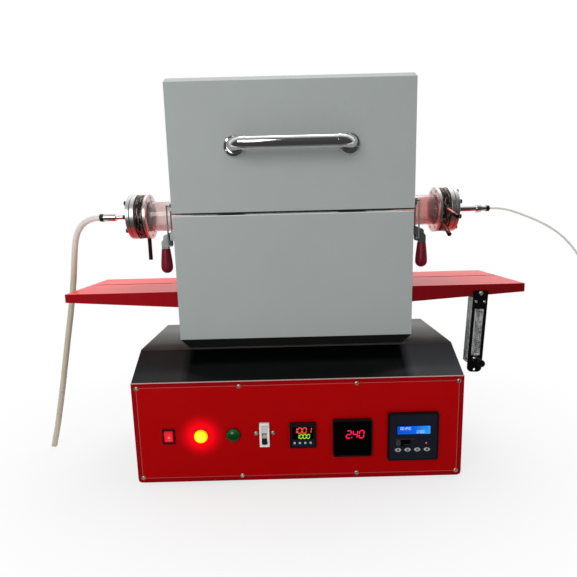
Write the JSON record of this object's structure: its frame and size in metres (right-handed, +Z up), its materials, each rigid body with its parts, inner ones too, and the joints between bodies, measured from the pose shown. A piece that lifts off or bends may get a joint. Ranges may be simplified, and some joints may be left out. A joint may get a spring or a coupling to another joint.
{
  "type": "tube furnace",
  "caption": "Split tube furnace with a hinged lid on a control cabinet, a quartz work tube with water-cooled end flanges, side shelves and a flow meter.",
  "frame": {"origin": "on the surface that the feet stand on, under the middle of the work tube", "axes": "+X along the work tube to the right seen from the front, -Y to the front panel, +Z up"},
  "size_m": [1.3033, 0.3614, 0.737],
  "materials": {
    "panel_red": "gloss red enamel",
    "hood_black": "gloss black paint",
    "tray_grey": "satin",
    "shell_grey": "fine textured powder coat",
    "shelf_red": "gloss red enamel",
    "insulation": "matt ceramic fibre board",
    "heater": "oxidised resistance alloy",
    "quartz": "clear polished",
    "chrome": "polished",
    "zinc": "bright zinc plated",
    "steel": "fine turned",
    "cooler_brown": "dark anodised ribs",
    "seal_rubber": "matt",
    "bolt_black": "black oxide",
    "copper": "bright tube",
    "grip_vinyl": "dipped vinyl",
    "black_plastic": "moulded",
    "navy_plastic": "moulded",
    "pale_plastic": "moulded",
    "red_lens": "lit lens",
    "green_lens": "translucent lens",
    "rocker_red": "translucent rocker",
    "key_silver": "satin",
    "clear_acrylic": "clear acrylic block",
    "black_plate": "satin black",
    "foot_rubber": "matt",
    "hose_milky": "milky silicone",
    "line_clear": "translucent white tube"
  },
  "bodies": {
    "root": {"chassis_tray": "tray_grey", "rubber_feet": "foot_rubber", "hood": "hood_black", "front_panel": "panel_red", "panel_screws": "zinc", "cable_gland": "black_plastic", "switch_frame": "black_plastic", "red_lamp": "red_lens", "green_lamp": "green_lens", "breaker_body": "pale_plastic", "temperature_controller": "black_plastic", "current_meter": "black_plastic", "program_controller": "navy_plastic", "furnace_plinth": "shell_grey", "lower_shell": "shell_grey", "lower_insulation": "insulation", "lower_heater": "heater", "thermocouple": "steel", "quartz_tube": "quartz", "lower_hinge_leaves": "zinc", "hinge_pins": "zinc", "latch_bases": "zinc", "clamp_rings": "steel", "cooling_rings": "cooler_brown", "flange_seals": "seal_rubber", "end_flanges": "steel", "end_caps": "steel", "flange_bolts": "bolt_black", "water_tubes": "copper", "gas_ports": "steel", "side_shelves": "shelf_red", "meter_plate": "black_plate", "meter_body": "clear_acrylic", "vent_hose": "hose_milky", "gas_line": "line_clear", "gas_line_coil": "line_clear"},
    "lid": {"lid_shell": "shell_grey", "upper_insulation": "insulation", "upper_heater": "heater", "lid_handle": "chrome", "upper_hinge_leaves": "zinc", "latch_catches": "zinc"},
    "left_latch": {"left_latch_lever": "zinc", "left_latch_grip": "grip_vinyl"},
    "left_loop": {"left_latch_loop": "zinc"},
    "right_latch": {"right_latch_lever": "zinc", "right_latch_grip": "grip_vinyl"},
    "right_loop": {"right_latch_loop": "zinc"},
    "power_rocker": {"switch_rocker": "rocker_red"},
    "breaker_lever": {"breaker_toggle": "black_plastic"},
    "temperature_key_1": {"temperature_key_1": "pale_plastic"},
    "program_key_1": {"program_key_1": "key_silver"},
    "temperature_key_2": {"temperature_key_2": "pale_plastic"},
    "program_key_2": {"program_key_2": "key_silver"},
    "temperature_key_3": {"temperature_key_3": "pale_plastic"},
    "program_key_3": {"program_key_3": "key_silver"},
    "temperature_key_4": {"temperature_key_4": "pale_plastic"},
    "program_key_4": {"program_key_4": "key_silver"},
    "float": {"meter_float": "black_plastic"},
    "valve_knob": {"meter_knob": "black_plastic"}
  },
  "joints": [
    {"name": "lid_hinge", "type": "hinge", "parent": "root", "child": "lid", "pos_m": [0, 0.118, 0.5015], "axis": [-1, 0, 0], "range_deg": [0, 90]},
    {"name": "left_latch_pivot", "type": "hinge", "parent": "root", "child": "left_latch", "pos_m": [-0.236, -0.088, 0.4615], "axis": [0, 1, 0], "range_deg": [0, 100]},
    {"name": "left_loop_pivot", "type": "hinge", "parent": "left_latch", "child": "left_loop", "pos_m": [-0.2315, -0.088, 0.4495], "axis": [0, 1, 0], "range_deg": [-100, 0]},
    {"name": "right_latch_pivot", "type": "hinge", "parent": "root", "child": "right_latch", "pos_m": [0.236, -0.088, 0.4615], "axis": [0, -1, 0], "range_deg": [0, 100]},
    {"name": "right_loop_pivot", "type": "hinge", "parent": "right_latch", "child": "right_loop", "pos_m": [0.2315, -0.088, 0.4495], "axis": [0, -1, 0], "range_deg": [-100, 0]},
    {"name": "rocker_pivot", "type": "hinge", "parent": "root", "child": "power_rocker", "pos_m": [-0.2375, -0.165, 0.103], "axis": [-1, 0, 0], "range_deg": [0, 16]},
    {"name": "breaker_pivot", "type": "hinge", "parent": "root", "child": "breaker_lever", "pos_m": [-0.0625, -0.166, 0.097], "axis": [-1, 0, 0], "range_deg": [0, 70]},
    {"name": "temperature_key_1_press", "type": "slide", "parent": "root", "child": "temperature_key_1", "axis": [0, 1, 0], "range_m": [0, 0.0008], "stiffness_N_per_m": 400},
    {"name": "program_key_1_press", "type": "slide", "parent": "root", "child": "program_key_1", "axis": [0, 1, 0], "range_m": [0, 0.0008], "stiffness_N_per_m": 400},
    {"name": "temperature_key_2_press", "type": "slide", "parent": "root", "child": "temperature_key_2", "axis": [0, 1, 0], "range_m": [0, 0.0008], "stiffness_N_per_m": 400},
    {"name": "program_key_2_press", "type": "slide", "parent": "root", "child": "program_key_2", "axis": [0, 1, 0], "range_m": [0, 0.0008], "stiffness_N_per_m": 400},
    {"name": "temperature_key_3_press", "type": "slide", "parent": "root", "child": "temperature_key_3", "axis": [0, 1, 0], "range_m": [0, 0.0008], "stiffness_N_per_m": 400},
    {"name": "program_key_3_press", "type": "slide", "parent": "root", "child": "program_key_3", "axis": [0, 1, 0], "range_m": [0, 0.0008], "stiffness_N_per_m": 400},
    {"name": "temperature_key_4_press", "type": "slide", "parent": "root", "child": "temperature_key_4", "axis": [0, 1, 0], "range_m": [0, 0.0008], "stiffness_N_per_m": 400},
    {"name": "program_key_4_press", "type": "slide", "parent": "root", "child": "program_key_4", "axis": [0, 1, 0], "range_m": [0, 0.0008], "stiffness_N_per_m": 400},
    {"name": "float_slide", "type": "slide", "parent": "root", "child": "float", "axis": [0.0436, 0, 0.999], "range_m": [0, 0.078]},
    {"name": "valve_turn", "type": "hinge", "parent": "root", "child": "valve_knob", "pos_m": [0.34537, -0.12, 0.21412], "axis": [0, -1, 0], "range_deg": [0, 1080]}
  ],
  "couplings": [
    {"joint": "left_loop_pivot", "follows": "left_latch_pivot", "ratio": -1},
    {"joint": "right_loop_pivot", "follows": "right_latch_pivot", "ratio": -1}
  ]
}
